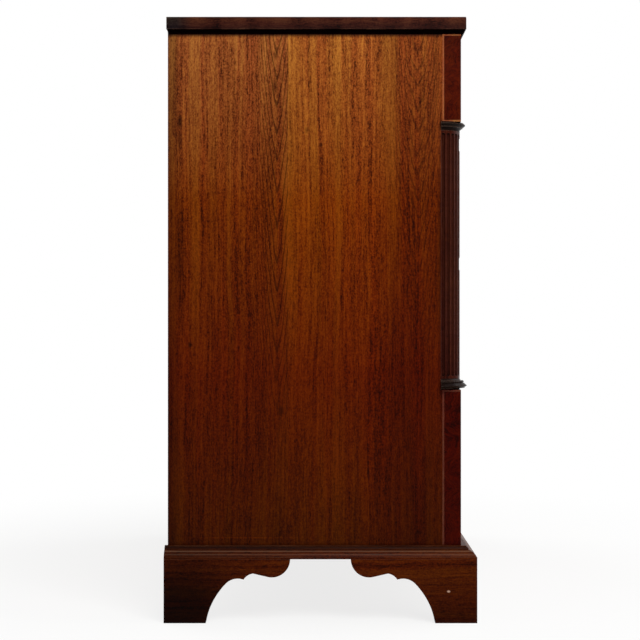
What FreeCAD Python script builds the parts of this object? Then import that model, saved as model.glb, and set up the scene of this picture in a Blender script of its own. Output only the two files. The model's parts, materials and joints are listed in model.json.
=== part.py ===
import FreeCAD, Part
import Sketcher
import math
import os

# Chest of drawers with two short drawers over three long ones, fluted quarter columns and bracket feet.
# X runs along the front, Y from the front to the back, Z up. The origin is at floor level in the
# middle of the base: its front and its back lie equally far away.

# Driving sizes in millimetres, each with what it measures
DRIVING = (
    ("carcass_width", 1060, "outside of one end board to the outside of the other"),
    ("carcass_depth", 537, "face of the corner posts to the back edge of the end boards"),
    ("end_thickness", 18, "end board"),
    ("back_thickness", 10, "back boards"),
    ("back_lap", 9, "how far the back boards lie in the rebates of the end boards"),
    ("back_board_gap", 0.6, "open joint between two back boards"),
    ("bottom_thickness", 18, "bottom board"),
    ("top_thickness", 22.5, "top board"),
    ("top_overhang", 9, "top board past the front and the ends"),
    ("top_rear", 2, "top board past the back edge of the end boards"),
    ("top_round", 2.5, "rounding of the upper edges of the top board"),
    ("neck_height", 7.5, "moulding under the top board"),
    ("neck_projection", 6.5, "the same moulding, out from the carcass"),
    ("neck_foot", 1.5, "the same moulding at its lower edge"),
    ("neck_rim", 2, "upright rim at the top of the same moulding"),
    ("post_width", 48, "corner post across the front"),
    ("post_depth", 50, "corner post from front to back"),
    ("block_depth", 34, "end face of the post, from the front to the end board"),
    ("corner_square", 37, "square recess of the quarter column, let a little into the end board"),
    ("upper_block_height", 160.5, "plain block of the post above the column"),
    ("line_width", 3, "inlaid line round the blocks"),
    ("line_depth", 1.5, "depth of the same line"),
    ("rail_thickness", 20, "each rail between drawers"),
    ("bottom_rail_height", 24, "rail under the bottom drawer"),
    ("rail_depth", 60, "every rail from front to back"),
    ("tenon_length", 8, "stub tenon at each end of a rail"),
    ("tenon_thickness", 10, "the same tenon, up and down"),
    ("tenon_shoulder", 6, "rail in front of the tenon"),
    ("tenon_depth", 36, "the same tenon from front to back"),
    ("divider_thickness", 20, "upright between the short drawers"),
    ("top_opening", 167, "opening of the short drawers"),
    ("second_opening", 202, "opening of the second drawer"),
    ("third_opening", 223, "opening of the third drawer"),
    ("bottom_opening", 262, "opening of the bottom drawer"),
    ("column_radius", 37, "quarter column"),
    ("flute_radius", 3.6, "each flute"),
    ("flute_centre", 0.6, "centre of each flute outside the face of the column"),
    ("flute_stop", 5, "plain end of the column past the flutes"),
    ("capital_height", 15.5, "turned capital"),
    ("capital_projection", 11, "capital out from the shaft"),
    ("capital_cove", 4.5, "hollow at the foot of the capital, outwards"),
    ("capital_cove_rise", 6, "the same hollow, upwards"),
    ("capital_flare_rise", 4, "undercut of the capital below its rim"),
    ("capital_weathering", 3, "sloping edge above that rim, inwards"),
    ("base_height", 20, "turned base of the column"),
    ("base_projection", 14, "the same base out from the shaft"),
    ("base_cove_rise", 3, "hollow at the foot of the same base"),
    ("base_undercut", 3.5, "rim of the same base out from that hollow"),
    ("base_undercut_rise", 2.5, "undercut below that rim"),
    ("base_slope", 5.5, "sloping top of that rim, inwards"),
    ("base_slope_rise", 4.5, "the same slope, upwards"),
    ("base_bead", 4.5, "bead above that slope"),
    ("base_bead_bulge", 1.4, "the same bead, outwards"),
    ("base_collar", 2.5, "collar above the bead, out from the shaft"),
    ("turned_fillet", 1.5, "small square step of the capital and the base"),
    ("turned_rim", 1, "upright rim of the capital and the base"),
    ("foot_height", 116, "floor to the base moulding"),
    ("plinth_height", 22, "base moulding"),
    ("plinth_projection", 27, "base moulding and feet, out from the carcass"),
    ("plinth_rear", 5, "the same past the back edge of the end boards, which have shrunk"),
    ("plinth_toe", 3.5, "low step of the base moulding"),
    ("plinth_step", 1.5, "the same step, inwards"),
    ("plinth_round", 11, "flat round above it, inwards"),
    ("plinth_ledge", 2, "ledge above the round, inwards"),
    ("plinth_riser", 1.8, "the same ledge, upwards"),
    ("plinth_hollow", 3.5, "hollow above the ledge, inwards"),
    ("plinth_hollow_rise", 3.7, "the same hollow, upwards"),
    ("plinth_crown", 1.5, "upright edge at the top"),
    ("bracket_thickness", 20, "boards of the feet"),
    ("bracket_length", 229.5, "board of a foot along the floor line"),
    ("toe_width", 76, "foot on the floor"),
    ("ankle_out", 113, "where the foot's outline turns over, from the corner"),
    ("ankle_height", 72, "the same point above the floor"),
    ("cusp_out", 145, "pointed cusp from the corner"),
    ("cusp_height", 79, "the same point above the floor"),
    ("spur_out", 162, "top of the small hollow after the cusp"),
    ("spur_height", 90, "the same point above the floor"),
    ("lobe_out", 190, "start of the round lobe"),
    ("lobe_height", 83.5, "the same point above the floor"),
    ("back_bracket_length", 150, "plain board at the back of a rear foot"),
    ("glue_block_side", 35, "square upright block behind each foot"),
    ("glue_block_lift", 4, "the same block above the floor"),
    ("rub_block_side", 24, "small block along the top of a foot"),
    ("rub_block_length", 90, "the same block, along the foot"),
    ("runner_ledge", 26, "runner inwards of the side of the opening"),
    ("guide_height", 15, "guide beside a drawer"),
    ("centre_runner_width", 72, "runner under both short drawers"),
    ("stop_thickness", 6, "drawer stop"),
    ("stop_length", 40, "the same stop along the front"),
    ("stop_depth", 24, "the same stop from front to back"),
    ("stop_spread", 130, "stops of a short drawer from its middle"),
    ("side_play", 1.2, "gap beside a drawer"),
    ("top_play", 1.5, "gap over a drawer"),
    ("running_lift", 0.3, "gap under a drawer and before its stops"),
    ("drawer_rear_gap", 20, "back of a drawer to the back boards"),
    ("front_thickness", 20, "drawer front"),
    ("drawer_side_thickness", 10, "drawer side"),
    ("drawer_side_drop", 3, "drawer side below the top of the front"),
    ("drawer_back_thickness", 10, "drawer back"),
    ("drawer_back_drop", 11, "drawer back below the top of the front"),
    ("drawer_bottom_thickness", 6, "drawer bottom"),
    ("drawer_bottom_lift", 12, "drawer bottom above the lower edge of the drawer"),
    ("groove_depth", 4.5, "groove that holds the drawer bottom"),
    ("dovetail_lap", 6, "wood left in front of the dovetails"),
    ("dovetail_pitch", 55, "about one dovetail for this much height"),
    ("dovetail_flare", 2.2, "widening of a dovetail on each edge"),
    ("bead_thickness", 3, "cock bead round a drawer front"),
    ("bead_inset", 5, "the same bead let into the front"),
    ("bead_proud", 2.3, "the same bead out from the front"),
    ("bead_chamfer", 1, "bevel of the bead's front edges"),
    ("handle_spacing", 84, "one handle post to the other"),
    ("handle_reach", 15, "pivot of a handle out from the drawer front"),
    ("handle_rise", 10, "pivot of a handle above the middle of the front"),
    ("rosette_radius", 12, "round foot of a handle post"),
    ("rosette_height", 3, "the same foot out from the drawer front"),
    ("stem_radius", 3.2, "neck of a handle post"),
    ("head_radius", 5.5, "barrel at the end of a handle post"),
    ("head_length", 9, "the same barrel, along the pivot"),
    ("bail_radius", 2.3, "wire of the hanging bail"),
    ("bail_end", 0.5, "bail's ends past the middle of the posts"),
    ("pivot_play", 0.05, "running gap round the bail's ends"),
    ("bail_arm", 11.5, "side of the bail out from the post"),
    ("bail_drop", 15, "pivot down to the bend of the bail"),
    ("bail_shoulder", 16, "rounded lower corner of the bail"),
    ("bail_sag", 6, "middle of the grip below its ends"),
)
FLUTE_COUNT = 6
BACK_BOARD_COUNT = 5
DOVETAIL_SHARE = 0.3
RIGHT_ANGLE = 90
NEAR = 0.01

# The small brass is drawn with flats in place of true rounds, because there are sixteen posts and
# eight bails: it keeps the meshes made from the model light.
WIRE_FLAT_COUNT = 8
ROUND_FLAT_COUNT = 12
BEND_STEP_COUNT = 3

DOCUMENT = FreeCAD.newDocument("chest_of_drawers")
SHEET = DOCUMENT.addObject("Spreadsheet::Sheet", "Sizes")
NODES = []


class Size:
    """A length known both as an expression over the sheet and as a number."""

    def __init__(self, text, value):
        self.text = text
        self.value = value

    def __add__(self, other):
        other = as_size(other)
        return Size(f"({self.text} + {other.text})", self.value + other.value)

    def __sub__(self, other):
        other = as_size(other)
        return Size(f"({self.text} - {other.text})", self.value - other.value)

    def __mul__(self, other):
        other = as_size(other)
        return Size(f"({self.text} * {other.text})", self.value * other.value)

    def __truediv__(self, other):
        other = as_size(other)
        return Size(f"({self.text} / {other.text})", self.value / other.value)

    def __neg__(self):
        return Size(f"(0 - {self.text})", -self.value)

    def __radd__(self, other):
        return as_size(other) + self

    def __rsub__(self, other):
        return as_size(other) - self

    def __rmul__(self, other):
        return as_size(other) * self


class Sizes:
    """The driving sizes by name."""


def as_size(number):
    if isinstance(number, Size):
        return number
    return Size(repr(number), number)


def read_sizes():
    """Writes the sheet and hands back each of its cells as a size."""
    sizes = Sizes()
    for row, (alias, value, meaning) in enumerate(DRIVING, start=1):
        SHEET.set(f"A{row}", meaning)
        SHEET.set(f"B{row}", str(value))
        SHEET.setAlias(f"B{row}", alias)
        setattr(sizes, alias, Size(f"Sizes.{alias}", value))
    DOCUMENT.recompute()
    return sizes


def bind(thing, name, size):
    thing.setExpression(name, as_size(size).text)


def scaled(radius, number):
    """A length times a plain number."""
    return radius * round(number, 6)


def leg(slope, other):
    """The second leg of a right-angled triangle."""
    length = math.sqrt(slope.value**2 - other.value**2)
    return Size(f"sqrt(pow({slope.text}; 2) - pow({other.text}; 2))", length)


def place(thing, x, y, z, axis=(0, 0, 1), angle=0):
    """Turns a thing about an axis through its own origin and moves that origin to x, y, z."""
    turn = FreeCAD.Rotation(FreeCAD.Vector(*axis), angle)
    thing.Placement = FreeCAD.Placement(FreeCAD.Vector(), turn)
    for name, size in zip("xyz", (x, y, z)):
        bind(thing, f"Placement.Base.{name}", size)


def block(low, high):
    """A squared piece of wood from its low corner to its high corner."""
    box = DOCUMENT.addObject("Part::Box", "block")
    for name, start, end in zip(("Length", "Width", "Height"), low, high):
        bind(box, name, end - start)
    place(box, *low)
    return box


def rod(radius, length, x, y, z, axis, angle):
    """A round rod or the tool for a round hole, along Z before it is turned."""
    cylinder = DOCUMENT.addObject("Part::Cylinder", "rod")
    bind(cylinder, "Radius", radius)
    bind(cylinder, "Height", length)
    place(cylinder, x, y, z, axis, angle)
    return cylinder


def prism(flats, radius, length, x, y, z, axis=(0, 0, 1), angle=0):
    """A rod with flats, along Z before it is turned; the radius is to its corners."""
    bar = DOCUMENT.addObject("Part::Prism", "prism")
    bar.Polygon = flats
    bind(bar, "Circumradius", radius)
    bind(bar, "Height", length)
    place(bar, x, y, z, axis, angle)
    return bar


def wedge(near, far, across, up):
    """A prism whose X range changes from near to far as Y runs over across; up is its Z range."""
    piece = DOCUMENT.addObject("Part::Wedge", "wedge")
    sizes = {
        "Xmin": near[0],
        "Xmax": near[1],
        "X2min": far[0],
        "X2max": far[1],
        "Ymin": across[0],
        "Ymax": across[1],
        "Zmin": up[0],
        "Zmax": up[1],
        "Z2min": up[0],
        "Z2max": up[1],
    }
    for name, size in sizes.items():
        bind(piece, name, size)
    return piece


def cut(base, *tools):
    for tool in tools:
        result = DOCUMENT.addObject("Part::Cut", "cut")
        result.Base = base
        result.Tool = tool
        base = result
    return base


def joined(pieces):
    result = DOCUMENT.addObject("Part::MultiFuse", "joined")
    result.Shapes = pieces
    result.Refine = True
    return result


def shared(first, second):
    result = DOCUMENT.addObject("Part::MultiCommon", "shared")
    result.Shapes = [first, second]
    return result


def group(pieces):
    result = DOCUMENT.addObject("Part::Compound", "group")
    result.Links = pieces
    return result


def mirrored(thing, x=0, y=0, normal=(1, 0, 0)):
    """The mirror image in an upright plane through x, y."""
    result = DOCUMENT.addObject("Part::Mirroring", "mirrored")
    result.Source = thing
    result.Normal = FreeCAD.Vector(*normal)
    bind(result, "Base.x", x)
    bind(result, "Base.y", y)
    return result


def node(thing, label):
    thing.Label = label
    NODES.append(thing)
    return thing


def origin_part(body, role):
    return next(part for part in body.Origin.OriginFeatures if part.Role == role)


def turned_arc(start, end, angle):
    """The arc from start to end that turns left by angle degrees, or right where it is negative."""
    chord = end - start
    half = math.radians(angle) / 2
    normal = FreeCAD.Vector(-chord.y, chord.x, 0)
    middle = (start + end) * 0.5 - normal * (0.5 * math.tan(half / 2))
    return Part.Arc(start, middle, end)


def pin_point(sketch, geometry, end, corner):
    """Ties one end of a sketch edge to its two sizes."""
    for kind, axis, size in (("DistanceX", -2, corner[0]), ("DistanceY", -1, corner[1])):
        size = as_size(size)
        if size.text == "0":
            sketch.addConstraint(Sketcher.Constraint("PointOnObject", geometry, end, axis))
        else:
            index = sketch.addConstraint(Sketcher.Constraint(kind, -1, 1, geometry, end, size.value))
            bind(sketch, f"Constraints[{index}]", size)


def outline(body, role, corners, closed=True):
    """A sketch through corners; a corner's third value is the turn of the arc that leads to it."""
    sketch = body.newObject("Sketcher::SketchObject", "outline")
    sketch.AttachmentSupport = [(origin_part(body, role), "")]
    sketch.MapMode = "FlatFace"
    points = [FreeCAD.Vector(as_size(x).value, as_size(y).value, 0) for x, y, *_ in corners]
    ends = []
    count = len(corners)
    edges = count if closed else count - 1
    for index in range(edges):
        after = (index + 1) % count
        angle = corners[after][2] if len(corners[after]) > 2 else 0
        start, end = points[index], points[after]
        if angle:
            number = sketch.addGeometry(turned_arc(start, end, angle), False)
            spread = (corners[after][0] - corners[index][0], corners[after][1] - corners[index][1])
            spread = [as_size(part) for part in spread]
            chord = f"sqrt(pow({spread[0].text}; 2) + pow({spread[1].text}; 2))"
            length = math.hypot(spread[0].value, spread[1].value)
            radius = Size(chord, length) / (2 * math.sin(math.radians(abs(angle)) / 2))
            tie = sketch.addConstraint(Sketcher.Constraint("Radius", number, radius.value))
            bind(sketch, f"Constraints[{tie}]", radius)
        else:
            number = sketch.addGeometry(Part.LineSegment(start, end), False)
        ends.append((number, 2, 1) if angle < 0 else (number, 1, 2))
    for index, (number, first, last) in enumerate(ends):
        if index + 1 < edges or closed:
            other, other_first, _ = ends[(index + 1) % edges]
            sketch.addConstraint(Sketcher.Constraint("Coincident", number, last, other, other_first))
        pin_point(sketch, number, first, corners[index])
    if not closed:
        pin_point(sketch, ends[-1][0], ends[-1][2], corners[-1])
    return sketch


def stick(corners, length, role="YZ_Plane", backwards=False):
    """A length of wood with a drawn section, as a body."""
    body = DOCUMENT.addObject("PartDesign::Body", "stick")
    pad = body.newObject("PartDesign::Pad", "length")
    pad.Profile = outline(body, role, corners)
    pad.Reversed = backwards
    bind(pad, "Length", length)
    return body


def turned(corners, angle=360):
    """A turned piece about Z, or a sector of one."""
    body = DOCUMENT.addObject("PartDesign::Body", "turned")
    sketch = outline(body, "XZ_Plane", corners)
    turn = body.newObject("PartDesign::Revolution", "turn")
    turn.Profile = sketch
    turn.ReferenceAxis = (sketch, ["V_Axis"])
    turn.Angle = angle
    return body


def dressed(body, kind, amount, wanted):
    """Adds a fillet or chamfer to the straight edges whose two end points pass the test wanted."""
    DOCUMENT.recompute()
    names = []
    for number, edge in enumerate(body.Tip.Shape.Edges, start=1):
        first, last = (vertex.Point for vertex in edge.Vertexes)
        if wanted(first, last):
            names.append(f"Edge{number}")
    shape = body.Tip
    edge_work = body.newObject(f"PartDesign::{kind}", kind)
    edge_work.Base = (shape, names)
    bind(edge_work, "Radius" if kind == "Fillet" else "Size", amount)
    body.Tip = edge_work
    return body


size = read_sizes()

# Places worked out from the sizes
half_width = size.carcass_width / 2
whole_depth = size.plinth_projection + size.carcass_depth + size.plinth_rear
outer_front = -whole_depth / 2
outer_back = whole_depth / 2
front = outer_front + size.plinth_projection
back = front + size.carcass_depth
back_inside = back - size.back_thickness
floor_line = size.foot_height
bottom_rail_top = floor_line + size.bottom_rail_height
lower_rail = bottom_rail_top + size.bottom_opening
middle_rail = lower_rail + size.rail_thickness + size.third_opening
upper_rail = middle_rail + size.rail_thickness + size.second_opening
top_drawer_floor = upper_rail + size.rail_thickness
top_rail = top_drawer_floor + size.top_opening
neck_line = top_rail + size.rail_thickness
carcass_top = neck_line + size.neck_height
block_top = lower_rail + size.rail_thickness
capital_top = neck_line - size.upper_block_height
half_opening = half_width - size.post_width
half_divider = size.divider_thickness / 2
panel_inside = half_width - size.end_thickness
rail_back = front + size.rail_depth
column_x = size.corner_square - half_width
column_y = front + size.corner_square
joint_y = front + size.block_depth
outer_side = -half_width - size.plinth_projection
handle_x = (half_opening + half_divider) / 2
zero = as_size(0)
third_floor = lower_rail + size.rail_thickness
second_floor = middle_rail + size.rail_thickness
drawer_floors = (bottom_rail_top, third_floor, second_floor, top_drawer_floor)


def make_top():
    """Top board with rounded upper edges at the front and the ends."""
    left = -half_width - size.top_overhang
    near = front - size.top_overhang
    rear = back + size.top_rear
    corners = ((left, near), (-left, near), (-left, rear), (left, rear))
    board = stick(corners, size.top_thickness, "XY_Plane")
    rim = size.top_thickness.value

    def outer_rim(first, last):
        upper = abs(first.z - rim) < NEAR and abs(last.z - rim) < NEAR
        behind = abs(first.y - rear.value) < NEAR and abs(last.y - rear.value) < NEAR
        return upper and not behind

    dressed(board, "Fillet", size.top_round, outer_rim)
    place(board, 0, 0, carcass_top)
    node(board, "top_board")


def make_mitred_set(profile, projection, height, low, rear, label):
    """A moulding round the front and both ends back to rear: a section run out and mitred."""
    outer = half_width + projection
    front_stick = stick(profile, outer * 2)
    place(front_stick, outer, front, low, angle=RIGHT_ANGLE * 2)
    depth = (front - projection, front)
    plan = wedge((-outer, outer), (-half_width, half_width), depth, (low, low + height))
    front_piece = shared(front_stick, plan)
    side_stick = stick(profile, rear - front + projection)
    place(side_stick, -half_width, front - projection, low, angle=RIGHT_ANGLE)
    side_plan = wedge((front, rear), (front - projection, rear), (half_width, outer), (0, height))
    place(side_plan, 0, 0, low, angle=RIGHT_ANGLE)
    side_piece = shared(side_stick, side_plan)
    node(group([front_piece, side_piece, mirrored(side_piece)]), label)


def make_neck():
    """Small hollow moulding under the top board."""
    rim = size.neck_height - size.neck_rim
    profile = (
        (0, 0),
        (size.neck_foot, 0),
        (size.neck_projection, rim, -60),
        (size.neck_projection, size.neck_height),
        (0, size.neck_height),
    )
    make_mitred_set(profile, size.neck_projection, size.neck_height, neck_line, back, "top_moulding")


def make_plinth():
    """Base moulding: a low step, a flat round, a ledge and a small hollow."""
    out = size.plinth_projection
    high = size.plinth_height
    step = out - size.plinth_step
    ledge = step - size.plinth_round
    riser = ledge - size.plinth_ledge
    crown = riser - size.plinth_hollow
    crown_low = high - size.plinth_crown
    ledge_high = crown_low - size.plinth_hollow_rise
    ledge_low = ledge_high - size.plinth_riser
    profile = (
        (0, 0),
        (out, 0),
        (out, size.plinth_toe),
        (step, size.plinth_toe),
        (ledge, ledge_low, 50),
        (riser, ledge_low),
        (riser, ledge_high),
        (crown, crown_low, 50),
        (crown, high),
        (0, high),
    )
    make_mitred_set(profile, out, high, floor_line, outer_back, "base_moulding")


def make_ends():
    """End boards, rebated at the back for the back boards and notched in front for the column."""
    outside = -half_width
    board = block((outside, joint_y, floor_line), (-panel_inside, back, carcass_top))
    lap = outside + size.end_thickness - size.back_lap
    rebate = block((lap, back_inside, floor_line), (-panel_inside, back, carcass_top))
    left = node(cut(board, rebate, column_recess()), "side_left")
    node(mirrored(left), "side_right")


def column_recess():
    """The square room of the left quarter column with its capital and base."""
    return block((-half_width, front, block_top), (column_x, column_y, capital_top))


def tenon(side, low):
    """Stub tenon of a rail at one end; the tool for its mortise too."""
    shoulder = half_opening * side
    tip = (half_opening + size.tenon_length) * side
    ends = (shoulder, tip) if side > 0 else (tip, shoulder)
    start = front + size.tenon_shoulder
    return block((ends[0], start, low), (ends[1], start + size.tenon_depth, low + size.tenon_thickness))


def rail_levels():
    """Low edge and height of every rail, from the bottom up."""
    return (
        (floor_line, size.bottom_rail_height),
        (lower_rail, size.rail_thickness),
        (middle_rail, size.rail_thickness),
        (upper_rail, size.rail_thickness),
        (top_rail, size.rail_thickness + size.neck_height),
    )


def line_strips():
    """Inlaid lines on the end face of the left post: beside both blocks and across them."""
    outside = -half_width
    inside = outside + size.line_depth
    rear = joint_y - size.line_width
    upper = (outside, rear, capital_top), (inside, joint_y, neck_line)
    lower = (outside, rear, floor_line + size.plinth_height), (inside, joint_y, block_top)
    under_top = (outside, front, neck_line - size.line_width), (inside, rear, neck_line)
    over_capital = (outside, front, capital_top), (inside, rear, capital_top + size.line_width)
    under_base = (outside, front, block_top - size.line_width), (inside, rear, block_top)
    return [block(*ends) for ends in (upper, lower, under_top, over_capital, under_base)]


def make_posts():
    """Corner posts with the square recess for the column, the mortises and the inlaid lines."""
    outside = -half_width
    inside = outside + size.post_width
    body = block((outside, front, floor_line), (inside, joint_y, carcass_top))
    rear = block((-panel_inside, joint_y, floor_line), (inside, front + size.post_depth, carcass_top))
    mortises = []
    for low, height in rail_levels():
        mortises.append(tenon(-1, low + (height - size.tenon_thickness) / 2))
    lines = line_strips()
    post = cut(joined([body, rear]), column_recess(), group(mortises), group(lines))
    left = node(post, "corner_post_left")
    node(mirrored(left), "corner_post_right")
    inlay = group(lines)
    node(group([inlay, mirrored(inlay)]), "line_inlay")


def make_rails():
    """Rails with stub tenons, and the upright between the short drawers."""
    rails = []
    for low, height in rail_levels():
        board = block((-half_opening, front, low), (half_opening, rail_back, low + height))
        middle = low + (height - size.tenon_thickness) / 2
        rails.append(joined([board, tenon(-1, middle), tenon(1, middle)]))
    lowest, *between, highest = rails
    node(lowest, "bottom_rail")
    node(group(between), "drawer_rails")
    node(highest, "top_rail")
    upright = block((-half_divider, front, top_drawer_floor), (half_divider, rail_back, top_rail))
    node(upright, "drawer_divider")


def make_inside():
    """Bottom board, back boards, runners, guides and stops."""
    board_top = floor_line + size.bottom_thickness
    board = block((-panel_inside, rail_back, floor_line), (panel_inside, back_inside, board_top))
    node(board, "bottom_board")
    lap = panel_inside + size.back_lap
    pitch = (carcass_top - floor_line + size.back_board_gap) / BACK_BOARD_COUNT
    boards = []
    for number in range(BACK_BOARD_COUNT):
        low = floor_line + pitch * number
        boards.append(block((-lap, back_inside, low), (lap, back, low + pitch - size.back_board_gap)))
    node(group(boards), "back_boards")

    inner = size.runner_ledge - half_opening
    runners = []
    guides = []
    for floor in drawer_floors:
        low = board_top if floor is bottom_rail_top else floor - size.rail_thickness
        runner = block((-panel_inside, rail_back, low), (inner, back_inside, floor))
        high = floor + size.guide_height
        guide = block((-panel_inside, rail_back, floor), (-half_opening, back_inside, high))
        runners += [runner, mirrored(runner)]
        guides += [guide, mirrored(guide)]
    half = size.centre_runner_width / 2
    runners.append(block((-half, rail_back, upper_rail), (half, back_inside, top_drawer_floor)))
    high = top_drawer_floor + size.guide_height
    guides.append(block((-half_divider, rail_back, top_drawer_floor), (half_divider, back_inside, high)))
    node(group(runners), "drawer_runners")
    node(group(guides), "drawer_guides")

    near = front + size.front_thickness + size.running_lift
    places = [(floor, handle_x) for floor in drawer_floors[:-1]]
    places += [(top_drawer_floor, handle_x + size.stop_spread * side) for side in (-1, 1)]
    half = size.stop_length / 2
    stops = []
    for floor, middle in places:
        rear = near + size.stop_depth
        stop = block((middle - half, near, floor), (middle + half, rear, floor + size.stop_thickness))
        stops += [stop, mirrored(stop)]
    node(group(stops), "drawer_stops")


def flute(number, length):
    """The tool for one flute, a round cut along the shaft with a rounded end at each stop."""
    angle = math.radians(RIGHT_ANGLE / FLUTE_COUNT * (number + 0.5))
    outwards = (math.cos(angle), math.sin(angle))
    tangent = (-math.sin(angle), math.cos(angle), 0)
    radius = size.flute_radius
    half_wide = leg(radius, size.flute_centre)
    axis = [scaled(size.column_radius + size.flute_centre, part) for part in outwards]
    inner = [start - scaled(radius, part) for start, part in zip(axis, outwards)]
    stop = size.flute_stop + half_wide
    pieces = [rod(radius, length - stop * 2, *axis, stop, (0, 0, 1), 0)]
    for level in (stop, length - stop):
        along = rod(radius, radius * 2, *axis, level - radius, (0, 0, 1), 0)
        across = rod(half_wide, radius * 2, *inner, level, tangent, RIGHT_ANGLE)
        pieces.append(shared(along, across))
    return joined(pieces)


def make_columns():
    """Quarter columns with stopped flutes, and their turned capitals and bases."""
    low = block_top + size.base_height
    length = capital_top - size.capital_height - low
    radius = size.column_radius
    shaft = stick(((0, 0), (radius, 0), (0, radius, RIGHT_ANGLE)), length, "XY_Plane")
    fluted = cut(shaft, group([flute(number, length) for number in range(FLUTE_COUNT)]))
    place(fluted, column_x, column_y, low, angle=RIGHT_ANGLE * 2)
    left = node(fluted, "quarter_column_left")
    node(mirrored(left), "quarter_column_right")

    fillet = size.turned_fillet
    rise = size.capital_height
    out = radius + size.capital_projection
    cove = radius + size.capital_cove
    cove_top = size.capital_cove_rise
    flare_top = cove_top + fillet + size.capital_flare_rise
    capital = (
        (0, 0),
        (radius, 0),
        (cove, cove_top, -50),
        (cove + fillet, cove_top),
        (cove + fillet, cove_top + fillet),
        (out, flare_top),
        (out, flare_top + size.turned_rim),
        (out - size.capital_weathering, rise),
        (0, rise),
    )
    quarter(capital, capital_top - rise, "column_capitals")

    rise = size.base_height
    out = radius + size.base_projection
    cove = out - size.base_undercut
    cove_top = size.base_cove_rise + size.turned_rim
    rim_low = cove_top + size.base_undercut_rise
    slope_low = rim_low + size.turned_rim
    bead = out - size.base_slope - fillet
    bead_low = slope_low + size.base_slope_rise
    bead_top = bead_low + size.base_bead
    bulge = size.base_bead_bulge
    collar = radius + size.base_collar
    foot = (
        (0, 0),
        (size.corner_square, 0),
        (cove, size.base_cove_rise, -50),
        (cove, cove_top),
        (out, rim_low),
        (out, slope_low),
        (bead + fillet, bead_low),
        (bead, bead_low),
        (bead + bulge, bead_low + bulge),
        (bead + bulge, bead_top - bulge),
        (bead, bead_top),
        (collar, bead_top),
        (collar, bead_top + size.turned_rim),
        (radius, rise),
        (0, rise),
    )
    quarter(foot, block_top, "column_bases")


def quarter(corners, low, label):
    """A quarter turning set into the recess of the left post, and its mirror image in the right."""
    body = turned(corners, RIGHT_ANGLE)
    place(body, column_x, column_y, low, angle=RIGHT_ANGLE * 2)
    node(group([body, mirrored(body)]), label)


def bracket(mitred):
    """Shaped board of a foot with its corner at the origin, standing along X."""
    body = stick(
        (
            (0, 0),
            (size.toe_width, 0),
            (size.ankle_out, size.ankle_height, -34),
            (size.cusp_out, size.cusp_height, -64),
            (size.spur_out, size.spur_height, -50),
            (size.lobe_out, size.lobe_height),
            (size.bracket_length, size.foot_height, 100),
            (0, size.foot_height),
        ),
        size.bracket_thickness,
        "XZ_Plane",
        True,
    )
    if not mitred:
        return body
    deep = size.bracket_thickness
    far = size.bracket_length
    plan = wedge((zero, far), (deep, far), (zero, deep), (zero, size.foot_height))
    return shared(body, plan)


def make_feet():
    """Bracket feet: mitred pairs in front, a shaped and a plain board behind."""
    board = bracket(True)
    place(board, outer_side, outer_front, 0)
    side_board = mirrored(board, outer_side, outer_front, (1, -1, 0))
    left = node(group([board, side_board]), "front_foot_left")
    node(mirrored(left), "front_foot_right")

    turned_board = group([mirrored(bracket(False), normal=(1, -1, 0))])
    place(turned_board, outer_side, outer_front, 0)
    rear_side = mirrored(turned_board, normal=(0, 1, 0))
    plain = stick(
        (
            (0, 0),
            (size.toe_width, 0),
            (size.back_bracket_length, size.foot_height),
            (0, size.foot_height),
        ),
        size.bracket_thickness,
        "XZ_Plane",
    )
    place(plain, outer_side + size.bracket_thickness, outer_back, 0)
    left = node(group([rear_side, plain]), "back_foot_left")
    node(mirrored(left), "back_foot_right")


def make_glue_blocks():
    """Upright blocks in the corners of the feet and small ones along their upper edges."""
    inner_x = outer_side + size.bracket_thickness
    inner_front = outer_front + size.bracket_thickness
    inner_back = outer_back - size.bracket_thickness
    side = size.glue_block_side
    far_x = inner_x + side
    far_front = inner_front + side
    far_back = inner_back - side
    low = size.glue_block_lift
    high = size.foot_height
    thin = size.rub_block_side
    under = high - thin
    run = size.rub_block_length
    blocks = [
        block((inner_x, inner_front, low), (far_x, far_front, high)),
        block((inner_x, far_back, low), (far_x, inner_back, high)),
        block((inner_x, far_front, under), (inner_x + thin, far_front + run, high)),
        block((inner_x, far_back - run, under), (inner_x + thin, far_back, high)),
        block((far_x, inner_front, under), (far_x + run, inner_front + thin, high)),
    ]
    blocks += [mirrored(piece) for piece in blocks]
    node(group(blocks), "glue_blocks")


def tails(x, tip, root, low, height):
    """Dovetails of a drawer side from x inwards, wider at their tips, as prisms."""
    count = max(2, round(height.value / size.dovetail_pitch.value))
    pitch = height / count
    pieces = []
    for number in range(count):
        middle = low + pitch * (number + 0.5)
        narrow = pitch * DOVETAIL_SHARE
        wide = narrow + size.dovetail_flare
        at_tip, at_root = (-wide, wide), (-narrow, narrow)
        thick = size.drawer_side_thickness
        if tip.value < root.value:
            piece = wedge(at_tip, at_root, (tip, root), (zero, thick))
        else:
            piece = wedge(at_root, at_tip, (root, tip), (zero, thick))
        place(piece, x + thick, 0, middle, (0, 1, 0), -RIGHT_ANGLE)
        pieces.append(piece)
    return pieces


def bead_strip(length, angle, x, z):
    """One cock bead strip: mitred ends, bevelled front edges. Its outer edge lies on local z = 0."""
    half = length / 2
    inner = half - size.bead_thickness
    body = stick(
        ((-half, 0), (half, 0), (inner, size.bead_thickness), (-inner, size.bead_thickness)),
        size.bead_inset + size.bead_proud,
        "XZ_Plane",
    )
    face = -(size.bead_inset + size.bead_proud).value

    def nose(first, last):
        in_face = abs(first.y - face) < NEAR and abs(last.y - face) < NEAR
        return in_face and abs(first.z - last.z) < NEAR

    dressed(body, "Chamfer", size.bead_chamfer, nose)
    place(body, x, front + size.bead_inset, z, (0, 1, 0), angle)
    return body


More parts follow.
